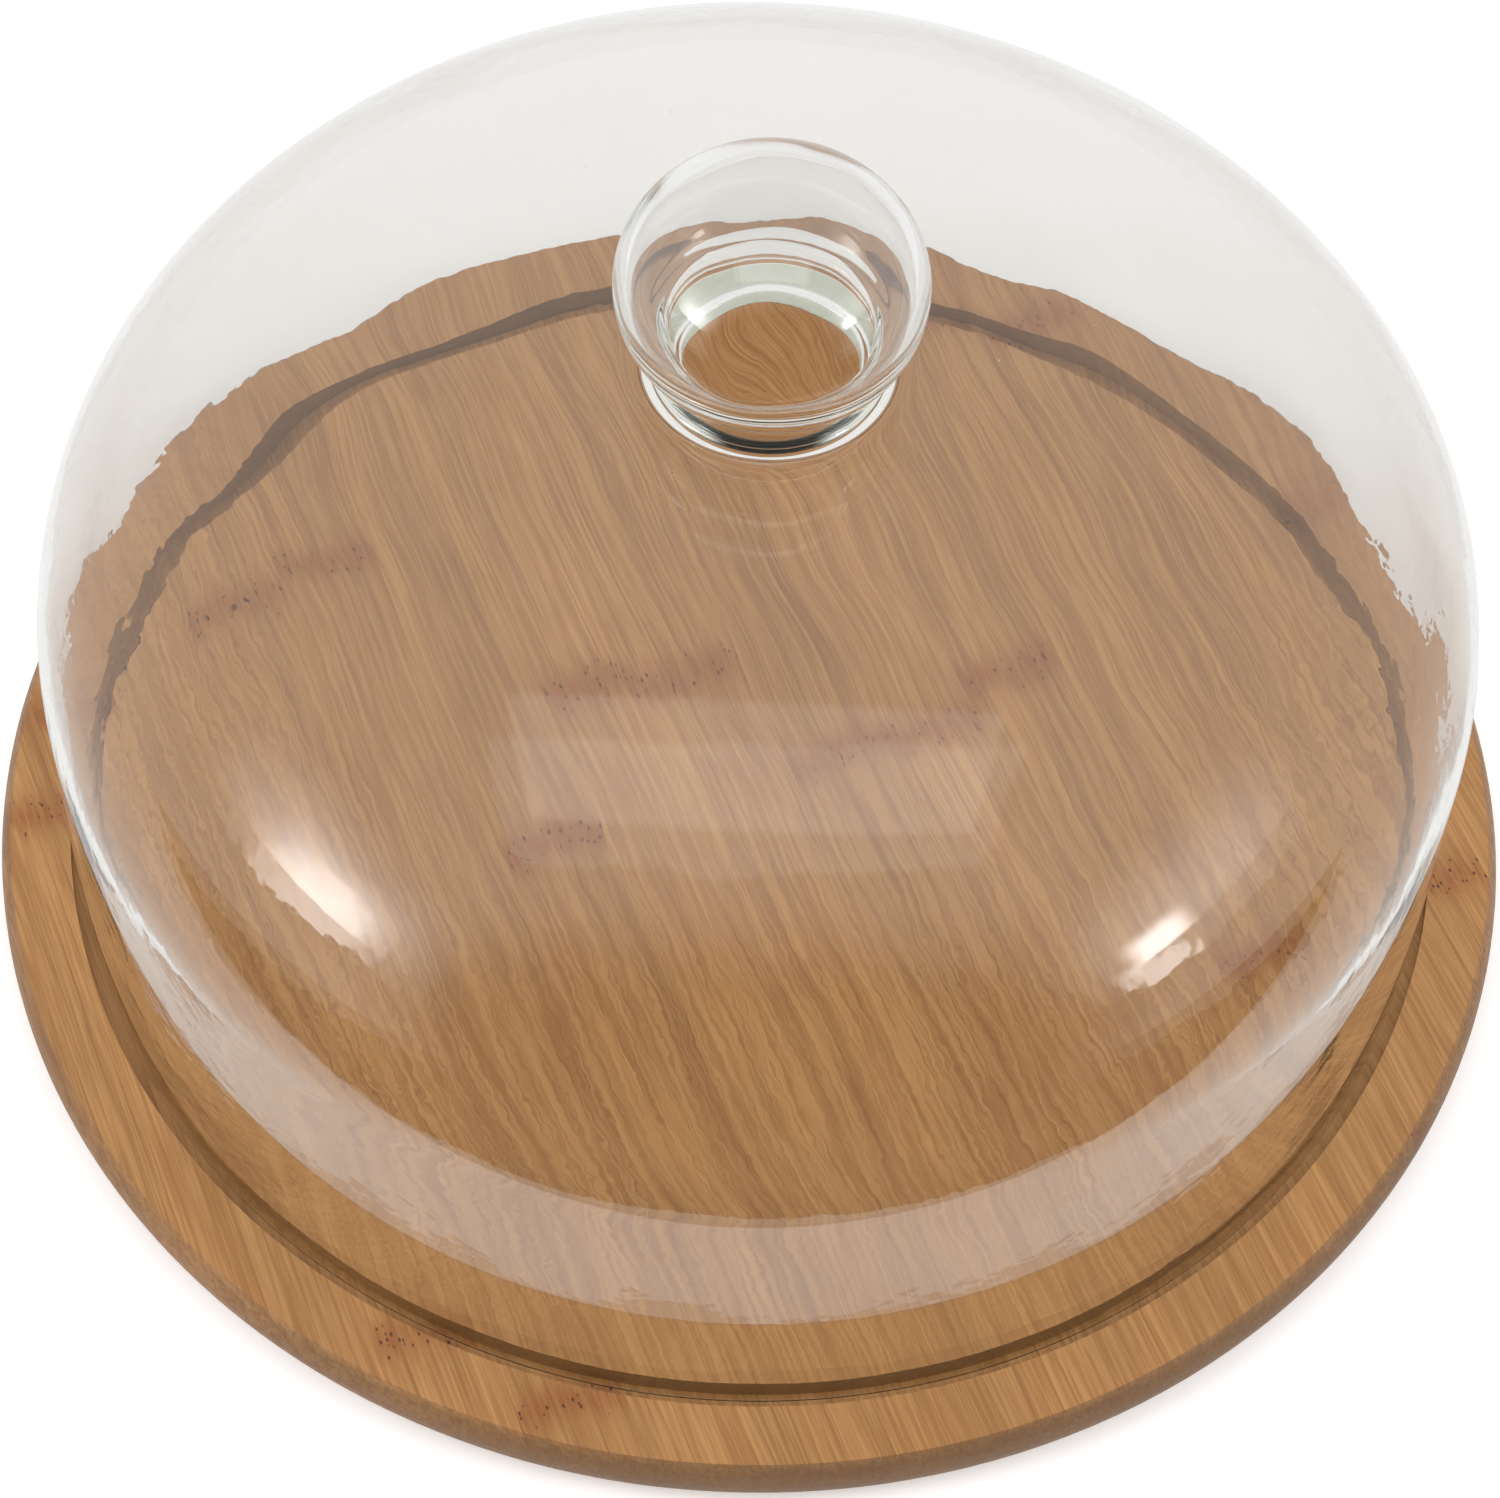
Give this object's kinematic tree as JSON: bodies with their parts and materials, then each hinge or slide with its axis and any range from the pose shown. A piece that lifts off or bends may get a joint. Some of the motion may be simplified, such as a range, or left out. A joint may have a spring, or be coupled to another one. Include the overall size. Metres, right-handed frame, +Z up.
{
  "type": "glass cloche on a round bamboo board",
  "caption": "Low clear glass dome with a hollow ball knob, standing in the annular groove of a round edge-glued bamboo board; the dome lifts off.",
  "frame": {"origin": "centre of the board's flat underside", "axes": "+Z up along the common axis of board, dome and knob; the bamboo grain runs along Y"},
  "size_m": [0.3, 0.3, 0.19],
  "materials": {
    "bamboo": "satin",
    "clear_glass": "polished"
  },
  "bodies": {
    "board": {"bamboo_stave_01": "bamboo", "bamboo_stave_02": "bamboo", "bamboo_stave_03": "bamboo", "bamboo_stave_04": "bamboo", "bamboo_stave_05": "bamboo", "bamboo_stave_06": "bamboo", "bamboo_stave_07": "bamboo", "bamboo_stave_08": "bamboo", "bamboo_stave_09": "bamboo", "bamboo_stave_10": "bamboo", "bamboo_stave_11": "bamboo", "bamboo_stave_12": "bamboo", "bamboo_stave_13": "bamboo", "bamboo_stave_14": "bamboo", "bamboo_stave_15": "bamboo"},
    "cover": {"glass_dome": "clear_glass", "glass_knob": "clear_glass"}
  },
  "joints": [
    {"name": "cover_lift", "type": "slide", "parent": "board", "child": "cover", "axis": [0, 0, 1], "range_m": [0, 0.15]}
  ]
}
